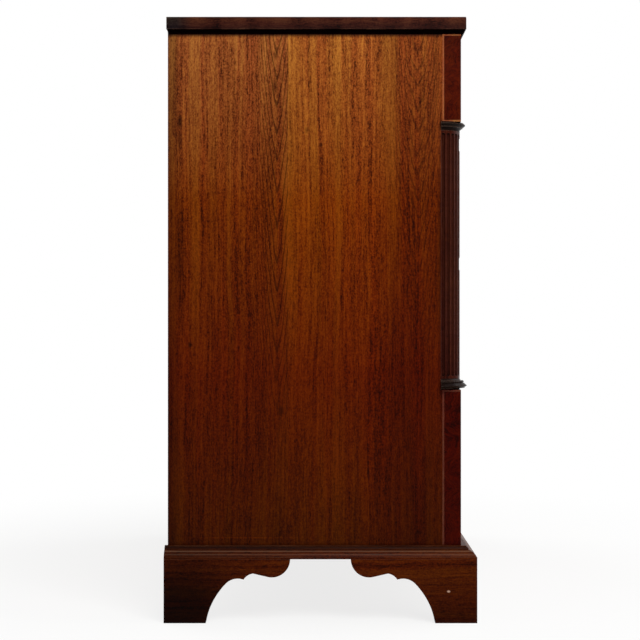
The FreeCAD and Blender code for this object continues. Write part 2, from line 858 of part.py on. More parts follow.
def ring(flats, radius):
    """Corners of a round wire's section, drawn with flats."""
    steps = [2 * math.pi * (number + 0.5) / flats for number in range(flats)]
    return [(scaled(radius, math.cos(step)), scaled(radius, math.sin(step))) for step in steps]


def make_bail(x, z):
    """Hanging bail: a bent wire whose ends turn in the heads of the two posts."""
    body = DOCUMENT.addObject("PartDesign::Body", "bail")
    half = size.handle_spacing / 2
    inner = half - size.bail_end
    arm = half + size.bail_arm
    drop = size.bail_drop
    bend = size.bail_shoulder
    side = [(inner, zero), (arm, zero)]
    for number in range(BEND_STEP_COUNT + 1):
        turn = math.radians(RIGHT_ANGLE / BEND_STEP_COUNT * number)
        low = drop + scaled(bend, math.sin(turn))
        side.append((arm - scaled(bend, 1 - math.cos(turn)), -low))
    grip = (zero, -(drop + bend + size.bail_sag))
    corners = [(-out, low) for out, low in side] + [grip] + side[::-1]
    path = outline(body, "XZ_Plane", corners, closed=False)
    section = outline(body, "YZ_Plane", ring(WIRE_FLAT_COUNT, size.bail_radius))
    bind(section, "AttachmentOffset.Base.z", -inner)
    DOCUMENT.recompute()
    wire = body.newObject("PartDesign::AdditivePipe", "wire")
    wire.Profile = section
    wire.Spine = (path, [f"Edge{edge}" for edge in range(1, len(corners))])
    wire.Transition = "Right corner"
    body.Tip = wire
    place(body, x, front - size.handle_reach, z)
    return body


def handle_post(x, z):
    """Post of a handle on its round foot, with the hole in its barrel head that the bail turns in."""
    out = ((1, 0, 0), RIGHT_ANGLE)
    along = ((0, 1, 0), RIGHT_ANGLE)
    pivot = front - size.handle_reach
    start = x - size.head_length / 2
    foot = prism(ROUND_FLAT_COUNT, size.rosette_radius, size.rosette_height, x, front, z, *out)
    stem = prism(WIRE_FLAT_COUNT, size.stem_radius, size.handle_reach, x, front, z, *out)
    head = prism(WIRE_FLAT_COUNT, size.head_radius, size.head_length, start, pivot, z, *along)
    hole = scaled(size.bail_radius + size.pivot_play, 1 / math.cos(math.pi / ROUND_FLAT_COUNT))
    bore = prism(ROUND_FLAT_COUNT, hole, size.head_length, start, pivot, z, *along)
    return cut(joined([foot, stem, head]), bore)


def make_drawer(name, centre, half, floor, opening, handles, twin):
    """One drawer: front with beads, dovetailed sides and back, bottom, and its handles.

    A long drawer has a mirrored handle of its own. Each short drawer is the other's twin.
    """
    half = half - size.side_play
    low = floor + size.running_lift
    high = floor + opening - size.top_play
    left = centre - half
    right = centre + half
    thick = size.drawer_side_thickness
    inside = front + size.front_thickness
    rear = back_inside - size.drawer_rear_gap
    rear_inside = rear - size.drawer_back_thickness
    bottom_low = low + size.drawer_bottom_lift
    bottom_high = bottom_low + size.drawer_bottom_thickness
    side_top = high - size.drawer_side_drop
    back_top = high - size.drawer_back_drop
    bead = size.bead_thickness
    inset = front + size.bead_inset

    panel = block(
        (left + thick - size.groove_depth, inside - size.groove_depth, bottom_low),
        (right - thick + size.groove_depth, rear, bottom_high),
    )
    front_tails = tails(left, front + size.dovetail_lap, inside, low, side_top - low)
    rear_tails = tails(left, rear, rear_inside, bottom_high, back_top - bottom_high)
    board = block((left, inside, low), (left + thick, rear_inside, side_top))
    heel = block((left, rear_inside, low), (left + thick, rear, bottom_high))
    side = cut(joined([board, heel, *front_tails, *rear_tails]), panel)

    face = block((left, front, low), (right, inside, high))
    rebates = group(
        [
            block((left, front, low), (left + bead, inset, high)),
            block((right - bead, front, low), (right, inset, high)),
            block((left + bead, front, low), (right - bead, inset, low + bead)),
            block((left + bead, front, high - bead), (right - bead, inset, high)),
        ]
    )
    sockets = group(front_tails)
    rear_sockets = group(rear_tails)
    far_sockets = mirrored(sockets, centre)
    far_rear_sockets = mirrored(rear_sockets, centre)
    core = cut(face, rebates, sockets, far_sockets, panel)
    middle = (low + high) / 2
    beads = [
        bead_strip(right - left, 0, centre, low),
        bead_strip(right - left, RIGHT_ANGLE * 2, centre, high),
        bead_strip(high - low, RIGHT_ANGLE, left, middle),
        bead_strip(high - low, -RIGHT_ANGLE, right, middle),
    ]
    level = middle + size.handle_rise
    spread = size.handle_spacing / 2
    posts = [handle_post(x + spread * end, level) for x in handles for end in (-1, 1)]
    bails = [make_bail(x, level) for x in handles]
    back_board = block((left, rear_inside, bottom_high), (right, rear, back_top))
    pieces = {
        "front": group([core, *beads]),
        "sides": group([side, mirrored(side, centre)]),
        "back": cut(back_board, rear_sockets, far_rear_sockets),
        "bottom": panel,
        "handle_posts": group(posts),
    }
    for piece, thing in pieces.items():
        node(thing, f"{name}_drawer_{piece}")
        if twin:
            node(mirrored(thing), f"{twin}_drawer_{piece}")
    if twin:
        node(bails[0], f"{name}_bail")
        node(mirrored(bails[0]), f"{twin}_bail")
    else:
        node(bails[0], f"{name}_left_bail")
        node(bails[1], f"{name}_right_bail")


def make_drawers():
    """Two short drawers over three long ones."""
    centre = -handle_x
    half = (half_opening - half_divider) / 2
    make_drawer("top_left", centre, half, top_drawer_floor, size.top_opening, [centre], "top_right")
    long_drawers = (
        ("second", second_floor, size.second_opening),
        ("third", third_floor, size.third_opening),
        ("bottom", bottom_rail_top, size.bottom_opening),
    )
    for name, floor, opening in long_drawers:
        make_drawer(name, zero, half_opening, floor, opening, [-handle_x, handle_x], None)


def check():
    """Stops unless every object is sound and every node has a valid solid shape."""
    for thing in DOCUMENT.Objects:
        for state in ("Invalid", "Error"):
            if state in thing.State:
                raise RuntimeError(f"{thing.Label} ({thing.Name}) is {state}: {thing.getStatusString()}")
    for thing in NODES:
        if thing.Shape.isNull() or not thing.Shape.isValid() or not thing.Shape.Solids:
            raise RuntimeError(f"{thing.Label} has no sound shape")


def write():
    os.makedirs("parts", exist_ok=True)
    for thing in NODES:
        thing.Shape.exportStep(f"parts/{thing.Label}.step")
        print(thing.Label, len(thing.Shape.Solids))


make_top()
make_neck()
make_ends()
make_posts()
make_rails()
make_inside()
make_columns()
make_plinth()
make_feet()
make_glue_blocks()
make_drawers()
DOCUMENT.recompute()
check()
write()
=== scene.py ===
"""Finishes and studio for a chest of drawers with fluted quarter columns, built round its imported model.

The CAD nodes keep their shapes and get their woods here. The brass handles are turned and bent
afresh, smooth, in the places of the plain ones. Everything is in metres, with the front towards -Y.
"""

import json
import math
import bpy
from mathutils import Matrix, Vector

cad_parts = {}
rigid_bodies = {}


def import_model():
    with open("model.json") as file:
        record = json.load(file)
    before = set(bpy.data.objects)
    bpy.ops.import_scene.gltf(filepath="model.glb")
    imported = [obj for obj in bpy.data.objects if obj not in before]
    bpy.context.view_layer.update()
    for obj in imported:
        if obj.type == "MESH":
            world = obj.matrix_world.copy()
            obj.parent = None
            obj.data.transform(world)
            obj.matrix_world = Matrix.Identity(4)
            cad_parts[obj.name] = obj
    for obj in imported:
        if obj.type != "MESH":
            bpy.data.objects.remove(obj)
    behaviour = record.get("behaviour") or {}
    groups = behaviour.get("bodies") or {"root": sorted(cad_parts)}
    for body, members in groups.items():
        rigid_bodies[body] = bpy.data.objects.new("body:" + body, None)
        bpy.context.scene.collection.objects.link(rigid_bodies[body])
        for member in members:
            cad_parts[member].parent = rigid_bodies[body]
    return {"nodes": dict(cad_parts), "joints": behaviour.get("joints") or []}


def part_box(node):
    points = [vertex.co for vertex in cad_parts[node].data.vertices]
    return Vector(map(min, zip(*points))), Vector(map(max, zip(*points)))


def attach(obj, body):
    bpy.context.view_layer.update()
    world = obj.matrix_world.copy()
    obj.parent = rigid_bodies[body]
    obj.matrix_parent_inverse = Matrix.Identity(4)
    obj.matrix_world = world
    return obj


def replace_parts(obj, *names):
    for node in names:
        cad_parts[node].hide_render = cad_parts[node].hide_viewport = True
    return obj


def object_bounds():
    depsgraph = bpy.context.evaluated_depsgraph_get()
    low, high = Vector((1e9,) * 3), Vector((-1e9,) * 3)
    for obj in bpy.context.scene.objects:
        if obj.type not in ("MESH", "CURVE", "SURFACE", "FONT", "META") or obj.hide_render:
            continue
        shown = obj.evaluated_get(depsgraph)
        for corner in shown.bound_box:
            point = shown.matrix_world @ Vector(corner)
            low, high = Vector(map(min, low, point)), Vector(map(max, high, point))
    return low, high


bl_info = {
    "name": "Chest of drawers",
    "version": (1, 0, 0),
    "blender": (4, 5, 0),
    "location": "View3D > Sidebar > Chest",
    "description": "Woods, brasses and a plain studio for a packed chest of drawers",
    "category": "Object",
}

from types import SimpleNamespace

import bmesh
import bpy
from bpy.props import FloatProperty, FloatVectorProperty, PointerProperty
from mathutils import Matrix, Vector

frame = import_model()
CAD_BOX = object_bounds()
NODES = frame["nodes"]
MM = 0.001

DRAWERS = ("top_left", "top_right", "second", "third", "bottom")
BAILS = {joint["child"]: joint for joint in frame["joints"] if joint["type"] == "hinge"}
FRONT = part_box("bottom_rail")[0].y
CARCASS_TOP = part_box("top_board")[0].z
PLINTH_LOW, PLINTH_HIGH = (corner.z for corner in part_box("base_moulding"))
END_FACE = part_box("side_left")[0].x
FEET_FACE = CAD_BOX[0].x
POST_JOINT, BACK_EDGE = (corner.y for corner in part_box("side_left"))
NECK_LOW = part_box("top_moulding")[0].z
BLOCK_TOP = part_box("column_bases")[0].z

# Axes, as the looks below name them
Y, Z = 1, 2


def linear(text):
    """An sRGB hex colour as linear red, green and blue."""
    values = [int(text[place : place + 2], 16) / 255 for place in (0, 2, 4)]
    return tuple(v / 12.92 if v <= 0.04045 else ((v + 0.055) / 1.055) ** 2.4 for v in values)


def colour(name, text, description):
    return FloatVectorProperty(
        name=name, description=description, subtype="COLOR", size=3, min=0, max=1, default=linear(text)
    )


def length(name, millimetres, description):
    return FloatProperty(
        name=name, description=description, subtype="DISTANCE", unit="LENGTH", min=0, default=millimetres * MM
    )


class ChestWoods(bpy.types.PropertyGroup):
    """Colours of the woods and the sizes of their grain."""

    # From the foot to the top the end boards grow paler: partly their own fading, and partly painted light
    # that falls brighter towards the top
    end_top: colour("End board, top", "794521", "End boards under the top, where light has faded them")
    end_high: colour("End board, high", "5A2504", "End boards two thirds of the way up")
    end_low: colour("End board, low", "441201", "End boards one third of the way up")
    end_foot: colour("End board, foot", "351100", "End boards at the base moulding")
    post_top: colour("Corner post, top", "3B0C01", "Red mahogany veneer of the upper blocks")
    post_foot: colour("Corner post, foot", "300400", "Red mahogany veneer of the lower blocks")
    column: colour("Column shaft", "2F1009", "Stained wood of the quarter columns")
    turning: colour("Capital and base", "120907", "Black stained capitals and bases of the columns")
    top: colour("Top", "3A1B12", "Upper face of the top board")
    edge: colour("Edge of the top", "34170F", "Dark edge of the top board")
    # Near black: the shade under the top's overhang, painted into the moulding's colour
    neck: colour("Moulding under the top", "040101", "Dirt-dark moulding under the top board")
    base_high: colour("Base moulding", "401602", "Base moulding and the upper edge of the feet")
    # Darker towards the floor
    base_foot: colour("Feet at the floor", "280B01", "Feet at the floor, dark from damp and floor polish")
    front: colour("Drawer front", "5E220C", "Mahogany of the drawer fronts and rails")
    bare_front: colour("Back of the fronts", "5A2C14", "Unpolished mahogany of the fronts' inner faces")
    bead: colour("Cock bead", "38150B", "Darker beads round the drawer fronts")
    line: colour("Inlaid line", "7E4A2C", "Satinwood stringing round the corner blocks")
    inside: colour("Inside wood", "8E5F37", "Bare pine of drawers, runners and back")
    worn: colour("Rubbed arris", "9A6A50", "Bare wood showing where arrises are rubbed")
    # The colour of old polish and dirt, also laid into the hollows as painted shade
    dirt_and_shade: colour("Dirt", "0C0201", "Old polish and dirt in the hollows")
    fleck_width: length("Fleck width", 2.1, "Width of the pore flecks, drawn coarse enough to show")
    fleck_length: length("Fleck length", 15, "Length of the pore flecks")
    grit: length("Grit", 1.9, "Width of the finest granules, drawn coarse enough to show")
    streak_width: length("Streak width", 4.2, "Width of the fine streaks along the grain")
    streak_length: length("Streak length", 220, "Length of the fine streaks")
    ribbon_length: length("Ribbon length", 900, "Length of the broad ribbons along the grain")
    wander: length("Wander", 110, "Width of the slow wanderings of the grain")
    arris: length("Worn arris", 1.0, "Width of the wear along the edges")


class ChestBrass(bpy.types.PropertyGroup):
    """Colours and sizes of the handles."""

    brass: colour("Brass", "A9834A", "Rubbed brass of the handles")
    tarnish: colour("Tarnish", "4A3520", "Brown tarnish in the hollows")
    blotch: length("Tarnish blotch", 11.11, "Size of the blotches of tarnish")
    scratch: length("Scratch", 1.111, "Size of the fine scratches, drawn coarse enough to show")
    wire: length("Bail wire", 2.3, "Radius of the bail's wire")


class ChestStudio(bpy.types.PropertyGroup):
    """Camera, floor and lights."""

    distance: length("Camera distance", 2700, "Camera to the end board")
    height: length("Camera height", 550, "Camera above the floor")
    aside: length("Camera aside", 0.8, "Camera behind the middle of the chest")
    lens: FloatProperty(name="Lens", description="Focal length on a 36 mm sensor", default=82.9)
    key: FloatProperty(name="Key light", description="Light on the end board", unit="POWER", default=118)
    fill: FloatProperty(name="Fill lights", description="Each of the other lights", unit="POWER", default=90)
    room: FloatProperty(name="Room light", description="Strength of the even light all round", default=0.16)
    floor: colour("Floor", "E8E8E6", "Pale studio floor")


# A MapRange takes its value in socket 0, its old range in 1 and 2, and its new range in 3 and 4,
# which is 0 to 1 where it isn't given.
def add(tree, kind, inputs=None, out=0, **settings):
    """Adds a node with its settings and what goes into it, and hands back one of its outputs."""
    node = tree.nodes.new("ShaderNode" + kind)
    for name, value in settings.items():
        setattr(node, name, value)
    for socket, value in (inputs or {}).items():
        if isinstance(value, bpy.types.NodeSocket):
            tree.links.new(value, node.inputs[socket])
        else:
            node.inputs[socket].default_value = value
    return node.outputs[out] if node.outputs else node


def opaque(rgb):
    return (*rgb, 1)


WHITE = opaque((1, 1, 1))

# Which way the grain runs and which way lies across it, as directions in the chest's own frame.
# Boards of one material that lie along both X and Y, such as the feet, take their sum.
UPRIGHT = ((0, 0, 1), (1, 1, 0))
LENGTHWAYS = ((1, 0, 0), (0, 1, 1))
BACKWARDS = ((0, 1, 0), (1, 0, 1))
ROUND_THE_BASE = ((1, 1, 0), (0, 0, 1))

# What the dark and the pale parts of the grain multiply a wood's colour by
MAHOGANY_CASTS = ((1.2, 0.84, 0.8), (0.96, 1.1, 0.8))
PINE_CASTS = ((1.06, 0.96, 0.88), (0.98, 1.02, 1.02))

# What each wood looks like unless its operator says otherwise
LOOK = {
    # How far the grain wanders to either side, over what length, and how wide its ribbons are
    "sway": 14 * MM,
    "reach": 380 * MM,
    "ribbon": 19 * MM,
    # Weights of the pores, the granules and the clouds in the tone
    "flecks": 0.4,
    "grit": 0.4,
    "cloudy": 0.16,
    # What the darkest and the palest grain multiply the colour by, how far one piece differs from
    # the next, and the casts of the dark and the pale grain
    "gain": (0.2, 2.0),
    "vary": 0.06,
    "casts": MAHOGANY_CASTS,
    # A row of boards in one node: axis, place of its first joint, and one joint to the next
    "row": None,
    # Growth rings: spacing, how far the heart lies behind the face, its slant, and their darkness
    "rings": None,
    # Nested arches at a place; see figure_gain
    "figures": (),
    # Between which heights the colours run from the first to the last
    "heights": (PLINTH_HIGH, CARCASS_TOP),
    # Boards glued side by side, and stretches that light or dirt has changed: each begins at a
    # place on an axis, has set in fully at a second place, and multiplies what follows by a colour
    "stretches": (),
    # Knots, bruises and scratches: soft ellipses given by their middle, half sizes and gain
    "marks": (),
    # Arrises rubbed to bare wood: how strongly, in which colour if not the woods' own, and where
    # else the wood is bare or pale with painted highlights, given as the marks are
    "wear": 0.4,
    "worn": None,
    "chips": (),
    # Old polish and dirt in hollows, with painted shade there: how strong they are, within what distance
    # walls shut a place in, and how open to the air it is where they are full and where there are none
    "grime": 0,
    "hollows": (14 * MM, 0.2, 0.8),
    # Polish
    "rough": 0.36,
    "specular": 0.025,
}

# Weights of the fine streaks and the ribbons in the tone, and of the ribbons in the hue alone
STREAK_WEIGHT = 0.45
RIBBON_WEIGHT = 0.28
HUE_RIBBON_WEIGHT = 0.5
# How far the tone and the hue swing from their middles
TONE_SWING = 0.17
HUE_SWING = 0.14
# How far apart in the noises the grains of two pieces lie
PIECES_APART = 40
# The heart of the wood comes back after this much on either side, and is shifted from piece to piece
HEART_REACH = 130 * MM
HEART_SHIFT = 600 * MM
# How much the clouds bend the heart, and the streaks ripple the rings
HEART_BEND = 30 * MM
RING_RIPPLE = 4 * MM
# How sharply the arches of a figure turn at their tips, and how much of the grain's wandering
# moves them
ARCH_POWER = 1.4
ARCH_SWAY = 0.25
# Share of its half sizes within which a mark, or a chip, has its full strength
MARK_CORE = 0.3
CHIP_CORE = 0.5
# How deep the open pores lie under the polish, drawn deep enough to show
PORE_DEPTH = 0.4 * MM


def lie(tree, grain, across, width, length, seed):
    """A place in the grain of one piece: across it in widths, along it in lengths."""
    first = add(tree, "Math", {0: across, 1: width}, operation="DIVIDE")
    second = add(tree, "Math", {0: grain.along, 1: length}, operation="DIVIDE")
    third = add(tree, "Math", {0: grain.piece, 1: PIECES_APART, 2: seed}, operation="MULTIPLY_ADD")
    return add(tree, "CombineXYZ", {0: first, 1: second, 2: third})


def number_boards(tree, parts, row):
    """A random number for each board of a row, and the gain of the dirt along their joints."""
    axis, start, pitch = row
    place = add(tree, "Math", {0: parts[axis], 1: start}, operation="SUBTRACT")
    turn = add(tree, "Math", {0: place, 1: pitch}, operation="DIVIDE")
    number = add(tree, "Math", {0: turn}, operation="FLOOR")
    near = add(tree, "Math", {0: place, 1: pitch / 2}, operation="PINGPONG")
    joint = add(tree, "MapRange", {0: near, 1: 0.8 * MM, 2: 3 * MM, 3: 0.25, 4: 1})
    return add(tree, "TexWhiteNoise", {"W": number}, noise_dimensions="1D"), joint


def lay_grain(tree, directions, seed, look):
    """The places and noises of one wood, laid along its grain, and their sum as its tone."""
    woods = bpy.context.scene.chest_woods
    grain = SimpleNamespace()
    grain.spot = add(tree, "TexCoord", out=3)
    grain.parts = add(tree, "SeparateXYZ", {0: grain.spot}).node.outputs
    for name, way in zip(("along", "across"), directions):
        place = add(tree, "VectorMath", {0: grain.spot, 1: way}, out=1, operation="DOT_PRODUCT")
        setattr(grain, name, place)

    # Each node, or each board of a row of them, has a grain and a shade of its own
    if look.row:
        grain.piece, grain.joint = number_boards(tree, grain.parts, look.row)
    else:
        grain.piece, grain.joint = add(tree, "ObjectInfo", out=5), None

    # The grain wanders to either side along the board
    slow = lie(tree, grain, grain.across, woods.wander, look.reach, seed)
    wander = add(tree, "TexNoise", {"Vector": slow, "Scale": 1, "Detail": 2})
    grain.sway = add(tree, "MapRange", {0: wander, 3: -look.sway, 4: look.sway})
    grain.bent = add(tree, "Math", {0: grain.across, 1: grain.sway}, operation="ADD")

    # Fine streaks, broad ribbons, clouds, the short flecks of open pores, and granules
    fine = lie(tree, grain, grain.bent, woods.streak_width, woods.streak_length, seed + 3)
    broad = lie(tree, grain, grain.bent, look.ribbon, woods.ribbon_length, seed + 5)
    short = lie(tree, grain, grain.bent, woods.fleck_width, woods.fleck_length, seed + 7)
    small = lie(tree, grain, grain.bent, woods.grit, woods.grit * 1.7, seed + 9)
    grain.streaks = add(tree, "TexNoise", {"Vector": fine, "Scale": 1, "Detail": 3, "Roughness": 0.6})
    grain.ribbons = add(tree, "TexNoise", {"Vector": broad, "Scale": 1, "Detail": 2})
    grain.clouds = add(tree, "TexNoise", {"Vector": slow, "Scale": 1.9, "Detail": 4, "Roughness": 0.6})
    grain.flecks = add(tree, "TexNoise", {"Vector": short, "Scale": 1, "Detail": 2, "Roughness": 0.7})
    grit = add(tree, "TexNoise", {"Vector": small, "Scale": 1, "Detail": 1})

    layers = (
        (grain.streaks, STREAK_WEIGHT),
        (grain.ribbons, RIBBON_WEIGHT),
        (grain.clouds, look.cloudy),
        (grain.flecks, look.flecks),
        (grit, look.grit),
    )
    grain.tone = 0
    for noise, weight in layers:
        grain.tone = add(tree, "Math", {0: noise, 1: weight, 2: grain.tone}, operation="MULTIPLY_ADD")
    grain.middle = sum(weight for _, weight in layers) / 2
    return grain


def ring_gain(tree, grain, rings):
    """Growth rings about a heart just behind the board's face and a little askew.

    The face cuts them in nested arches. Each ring darkens slowly and ends sharply.
    """
    spacing, behind, askew, depth = rings
    moved = add(tree, "Math", {0: grain.piece, 1: HEART_SHIFT, 2: grain.bent}, operation="MULTIPLY_ADD")
    beside = add(tree, "Math", {0: moved, 1: HEART_REACH}, operation="PINGPONG")
    under = add(tree, "Math", {0: grain.along, 1: askew, 2: behind}, operation="MULTIPLY_ADD")
    under = add(tree, "Math", {0: grain.clouds, 1: HEART_BEND, 2: under}, operation="MULTIPLY_ADD")
    heart = add(tree, "CombineXYZ", {0: beside, 1: under})
    radius = add(tree, "VectorMath", {0: heart}, out=1, operation="LENGTH")
    radius = add(tree, "Math", {0: grain.streaks, 1: RING_RIPPLE, 2: radius}, operation="MULTIPLY_ADD")
    years = add(tree, "Math", {0: radius, 1: spacing}, operation="DIVIDE")
    ring = add(tree, "Math", {0: years}, operation="FRACT")
    return add(tree, "MapRange", {0: ring, 1: 0.35, 2: 0.95, 3: 1, 4: 1 - depth})


def figure_gain(tree, grain, figure):
    """Nested tall arches with their tips down, about a centre line that runs with the grain.

    half is how far they reach to either side, steepness how fast they climb away from the line,
    ragged how much the clouds move them, spacing one arch above the next, and depth how dark they
    are. They fade in along the grain between two places, and stop at an edge beside them if the
    board ends there.
    """
    off = add(tree, "Math", {0: grain.across, 1: figure["centre"]}, operation="SUBTRACT")
    off = add(tree, "Math", {0: grain.sway, 1: ARCH_SWAY, 2: off}, operation="MULTIPLY_ADD")
    aside = add(tree, "Math", {0: off}, operation="ABSOLUTE")
    arch = add(tree, "Math", {0: aside, 1: ARCH_POWER}, operation="POWER")
    climb = {0: arch, 1: -figure["steepness"], 2: grain.along}
    level = add(tree, "Math", climb, operation="MULTIPLY_ADD")
    level = add(tree, "Math", {0: grain.clouds, 1: figure["ragged"], 2: level}, operation="MULTIPLY_ADD")
    turns = add(tree, "Math", {0: level, 1: 2 * math.pi / figure["spacing"]}, operation="MULTIPLY")
    wave = add(tree, "Math", {0: turns}, operation="SINE")
    lines = add(tree, "MapRange", {0: wave, 1: 0.5, 2: 0.98, 3: 0, 4: figure["depth"]})
    fades = [(aside, (figure["half"], figure["half"] / 2)), (grain.along, figure["fades"])]
    if "edge" in figure:
        fades.append((grain.across, figure["edge"]))
    for where, (begins, ends) in fades:
        fade = add(tree, "MapRange", {0: where, 1: begins, 2: ends})
        lines = add(tree, "Math", {0: lines, 1: fade}, operation="MULTIPLY")
    return add(tree, "Math", {0: 1, 1: lines}, operation="SUBTRACT")


def rise(tree, height, colours, heights):
    """The colour at a height, from the first at the foot to the last at the head."""
    if len(colours) == 1:
        return tuple(colours[0])
    share = add(tree, "MapRange", {0: height, 1: heights[0], 2: heights[1]})
    shade = add(tree, "ValToRGB", {0: share})
    stops = shade.node.color_ramp.elements
    while len(stops) < len(colours):
        stops.new(0.5)
    for number, stop in enumerate(colours):
        stops[number].position = number / (len(colours) - 1)
        stops[number].color = opaque(stop)
    return shade


def reach_from(tree, spot, middle, half):
    """How far a spot lies from the middle of an ellipse, which ends at 1."""
    shift = add(tree, "VectorMath", {0: spot, 1: middle}, operation="SUBTRACT")
    shift = add(tree, "VectorMath", {0: shift, 1: half}, operation="DIVIDE")
    return add(tree, "VectorMath", {0: shift}, out=1, operation="LENGTH")


def rub(tree, grain, soft, look):
    """How pale the wood is: rubbed bare on its arrises here and there, and at the chips, some of which are
    painted highlights.
    """
    flat = add(tree, "NewGeometry", out=3)
    same = add(tree, "VectorMath", {0: soft, 1: flat}, out=1, operation="DOT_PRODUCT")
    edge = add(tree, "MapRange", {0: same, 1: 0.99, 2: 0.86, 3: 0, 4: 1})
    patchy = add(tree, "MapRange", {0: grain.clouds, 1: 0.38, 2: 0.62, 3: 0, 4: look.wear})
    rubbed = add(tree, "Math", {0: edge, 1: patchy}, operation="MULTIPLY")
    for middle, half, amount in look.chips:
        reach = reach_from(tree, grain.spot, middle, half)
        chip = add(tree, "MapRange", {0: reach, 1: CHIP_CORE, 2: 1, 3: amount, 4: 0})
        rubbed = add(tree, "Math", {0: rubbed, 1: chip}, operation="MAXIMUM")
    return rubbed


def wood(name, directions, colours, seed, **changes):
    """A sawn, planed and polished wood.

    colours is one colour, or several from the foot to the head; changes are what differs from LOOK.
    """
    woods = bpy.context.scene.chest_woods
    look = SimpleNamespace(**{**LOOK, **changes})
    material = bpy.data.materials.new(name)
    material.use_nodes = True
    tree = material.node_tree
    tree.nodes.clear()
    grain = lay_grain(tree, directions, seed, look)

    # How dark or pale the grain, the piece, its rings, its joints and its figures make the colour
    low, high = grain.middle - TONE_SWING, grain.middle + TONE_SWING
    gain = add(tree, "MapRange", {0: grain.tone, 1: low, 2: high, 3: look.gain[0], 4: look.gain[1]})
    gains = [add(tree, "MapRange", {0: grain.piece, 3: 1 - look.vary, 4: 1 + look.vary})]
    if look.rings:
        gains.append(ring_gain(tree, grain, look.rings))
    if look.row:
        gains.append(grain.joint)
    gains += [figure_gain(tree, grain, figure) for figure in look.figures]
    for other in gains:
        gain = add(tree, "Math", {0: gain, 1: other}, operation="MULTIPLY")
    shade = rise(tree, grain.parts[Z], colours, look.heights)
    shade = add(tree, "VectorMath", {0: shade, 3: gain}, operation="SCALE")

    # Redder where the grain is dark, more golden where it is pale, above all from ribbon to ribbon
    red, yellow = look.casts
    hue = add(tree, "Math", {0: grain.ribbons, 1: HUE_RIBBON_WEIGHT, 2: grain.tone}, operation="MULTIPLY_ADD")
    middle = grain.middle + HUE_RIBBON_WEIGHT / 2
    golden = add(tree, "MapRange", {0: hue, 1: middle - HUE_SWING, 2: middle + HUE_SWING})
    cast = add(tree, "MixRGB", {0: golden, 1: opaque(red), 2: opaque(yellow)})
    shade = add(tree, "VectorMath", {0: shade, 1: cast}, operation="MULTIPLY")

    for axis, begins, ends, factor in look.stretches:
        step = add(tree, "MapRange", {0: grain.parts[axis], 1: begins, 2: ends})
        cast = add(tree, "MixRGB", {0: step, 1: WHITE, 2: opaque(factor)})
        shade = add(tree, "VectorMath", {0: shade, 1: cast}, operation="MULTIPLY")
    for middle, half, amount in look.marks:
        reach = reach_from(tree, grain.spot, middle, half)
        blot = add(tree, "MapRange", {0: reach, 1: MARK_CORE, 2: 1, 3: amount, 4: 1})
        shade = add(tree, "VectorMath", {0: shade, 3: blot}, operation="SCALE")

    # Arrises rubbed paler here and there, hollows darkened by old polish and dirt and by painted shade
    soft = add(tree, "Bevel", {"Radius": woods.arris}, samples=6)
    bare = opaque(look.worn or woods.worn)
    shade = add(tree, "MixRGB", {0: rub(tree, grain, soft, look), 1: shade, 2: bare})
    if look.grime:
        reach, shut, open_air = look.hollows
        # Painted shade with the dirt: the less open to the air a place is, the darker it is painted
        sky = add(tree, "AmbientOcclusion", {"Distance": reach}, out=1, samples=8)
        dirt_and_shade = add(tree, "MapRange", {0: sky, 1: shut, 2: open_air, 3: look.grime, 4: 0})
        shade = add(tree, "MixRGB", {0: dirt_and_shade, 1: shade, 2: opaque(woods.dirt_and_shade)})

    # Open pores lie a little under the polish, and the polish is duller in some places than others
    relief = add(tree, "Math", {0: grain.flecks, 1: grain.streaks}, operation="ADD")
    pores = {"Strength": 0.2, "Distance": PORE_DEPTH, "Height": relief, "Normal": soft}
    dull = {0: grain.clouds, 1: 0.3, 2: 0.7, 3: look.rough - 0.06, 4: look.rough + 0.08}
    surface = {
        "Base Color": shade,
        "Roughness": add(tree, "MapRange", dull),
        "Normal": add(tree, "Bump", pores),
        "Specular IOR Level": look.specular,
    }
    add(tree, "OutputMaterial", {0: add(tree, "BsdfPrincipled", surface)})
    return material


def paint(node, *materials, pick=None):
    """Gives a CAD node its materials; pick says which of them a face gets."""
    mesh = NODES[node].data
    mesh.materials.clear()
    for material in materials:
        mesh.materials.append(material)
    if pick:
        for face in mesh.polygons:
            face.material_index = pick(face)


def end_mark(back, up, half_back, half_up, gain):
    """A mark on the left end board, its place and half sizes in millimetres."""
    return (END_FACE, back * MM, up * MM), (1, half_back * MM, half_up * MM), gain


